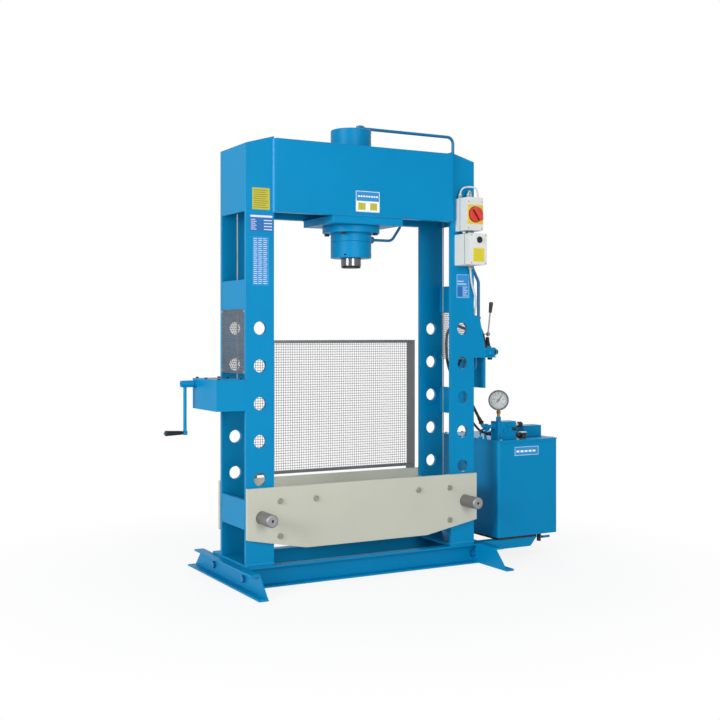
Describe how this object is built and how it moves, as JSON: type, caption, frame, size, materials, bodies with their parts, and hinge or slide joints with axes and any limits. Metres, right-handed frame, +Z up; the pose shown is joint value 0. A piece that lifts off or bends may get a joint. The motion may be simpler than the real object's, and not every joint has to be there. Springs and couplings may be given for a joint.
{
  "type": "hydraulic workshop press",
  "caption": "Free-standing H-frame hydraulic press with an adjustable pinned bed, a head cylinder, a hand winch for the bed, wire guards and a tank power unit.",
  "frame": {"origin": "on the floor under the axis of the ram", "axes": "+Z up, +X to the operator's right, -Y towards the operator"},
  "size_m": [2.13, 0.905, 2.2262],
  "materials": {
    "press_paint": "semi-gloss blue",
    "bed_paint": "semi-gloss beige",
    "dark_paint": "dark grey",
    "wire": "grey wire",
    "steel": "machined",
    "ram_chrome": "hard chrome",
    "rope": "galvanised",
    "iron": "as cast",
    "box_grey": "moulded",
    "yellow": "moulded",
    "red": "moulded",
    "black": "moulded",
    "black_rubber": "moulded",
    "cable_grey": "sheathed"
  },
  "bodies": {
    "frame": {"left_upright_front": "press_paint", "left_upright_rear": "press_paint", "right_upright_front": "press_paint", "right_upright_rear": "press_paint", "upright_spacers": "press_paint", "head_plate_front": "press_paint", "head_plate_rear": "press_paint", "head_end_plates": "press_paint", "base_channel_front": "press_paint", "base_channel_rear": "press_paint", "left_foot": "press_paint", "right_foot": "press_paint", "hexagon_bolts": "steel", "cylinder_seat_plate": "press_paint", "cylinder_barrel": "press_paint", "ram_gland": "steel", "bed_plate_front": "bed_paint", "bed_plate_rear": "bed_paint", "bed_guides": "bed_paint", "rear_guard_frame": "dark_paint", "rear_guard_net": "wire", "side_guards": "wire", "winch_housing": "press_paint", "rope_axles": "steel", "lifting_rope": "rope", "cylinder_oil_pipes": "press_paint", "switch_box": "box_grey", "switch_legend_plate": "yellow", "control_box": "box_grey", "control_cables": "cable_grey", "valve_console": "press_paint", "control_valve": "iron", "valve_gaiter": "black_rubber", "valve_hoses": "black_rubber", "oil_tank": "press_paint", "tank_lid": "press_paint", "tank_carrier": "press_paint", "electric_motor": "press_paint", "oil_pump": "iron", "oil_manifold": "steel", "breather_cap": "black", "pressure_gauge": "press_paint"},
    "ram": {"ram": "ram_chrome", "ram_nose": "steel"},
    "left_pin": {"left_bed_pin": "steel"},
    "right_pin": {"right_bed_pin": "steel"},
    "crank": {"crank_arm": "steel", "winch_worm_shaft": "steel"},
    "grip": {"crank_grip": "black"},
    "drum": {"winch_drum": "iron"},
    "head_sheave": {"head_sheave": "steel"},
    "left_bed_sheave": {"left_bed_sheave": "steel"},
    "right_bed_sheave": {"right_bed_sheave": "steel"},
    "switch": {"switch_knob": "red"},
    "button": {"push_button": "black"},
    "lever": {"valve_lever": "steel", "lever_knob": "black"},
    "needle": {"gauge_needle": "steel"},
    "filler": {"filler_cap": "black"},
    "drain": {"drain_lever": "steel"}
  },
  "joints": [
    {"name": "ram_slide", "type": "slide", "parent": "frame", "child": "ram", "axis": [0, 0, -1], "range_m": [0, 0.3]},
    {"name": "left_pin_slide", "type": "slide", "parent": "frame", "child": "left_pin", "axis": [0, -1, 0], "range_m": [0, 0.36]},
    {"name": "right_pin_slide", "type": "slide", "parent": "frame", "child": "right_pin", "axis": [0, -1, 0], "range_m": [0, 0.36]},
    {"name": "crank_turn", "type": "hinge", "parent": "frame", "child": "crank", "pos_m": [-0.832, 0.108, 0.944], "axis": [1, 0, 0], "continuous": true},
    {"name": "grip_spin", "type": "hinge", "parent": "crank", "child": "grip", "pos_m": [-0.88, 0.108, 0.714], "axis": [1, 0, 0], "continuous": true},
    {"name": "drum_turn", "type": "hinge", "parent": "frame", "child": "drum", "pos_m": [-0.652, 0, 0.884], "axis": [0, 1, 0], "continuous": true},
    {"name": "head_sheave_turn", "type": "hinge", "parent": "frame", "child": "head_sheave", "pos_m": [-0.579, 0, 1.815], "axis": [0, 1, 0], "continuous": true},
    {"name": "left_bed_sheave_turn", "type": "hinge", "parent": "frame", "child": "left_bed_sheave", "pos_m": [-0.522, 0, 0.4], "axis": [0, 1, 0], "continuous": true},
    {"name": "right_bed_sheave_turn", "type": "hinge", "parent": "frame", "child": "right_bed_sheave", "pos_m": [0.522, 0, 0.4], "axis": [0, 1, 0], "continuous": true},
    {"name": "switch_turn", "type": "hinge", "parent": "frame", "child": "switch", "pos_m": [0.569, -0.264, 1.781], "axis": [0, 1, 0], "range_deg": [0, 90]},
    {"name": "button_push", "type": "slide", "parent": "frame", "child": "button", "axis": [0, 1, 0], "range_m": [0, 0.004], "stiffness_N_per_m": 600},
    {"name": "lever_tilt", "type": "hinge", "parent": "frame", "child": "lever", "pos_m": [0.745, -0.124, 1.179], "axis": [1, 0, 0], "range_deg": [-18, 18], "stiffness_Nm_per_rad": 6},
    {"name": "needle_turn", "type": "hinge", "parent": "frame", "child": "needle", "pos_m": [0.858, -0.06, 0.828], "axis": [0.5592, 0.829, 0], "range_deg": [-173, 97], "stiffness_Nm_per_rad": 0.005},
    {"name": "filler_turn", "type": "hinge", "parent": "frame", "child": "filler", "pos_m": [0.992, -0.094, 0.632], "axis": [0, 0, 1], "range_deg": [0, 90]},
    {"name": "drain_turn", "type": "hinge", "parent": "frame", "child": "drain", "pos_m": [1.079, -0.145, 0.097], "axis": [0, 1, 0], "range_deg": [0, 90]}
  ],
  "couplings": [
    {"joint": "drum_turn", "follows": "crank_turn", "ratio": 0.033333},
    {"joint": "head_sheave_turn", "follows": "crank_turn", "ratio": -0.045161},
    {"joint": "left_bed_sheave_turn", "follows": "crank_turn", "ratio": 0.053846},
    {"joint": "right_bed_sheave_turn", "follows": "crank_turn", "ratio": 0.053846}
  ]
}
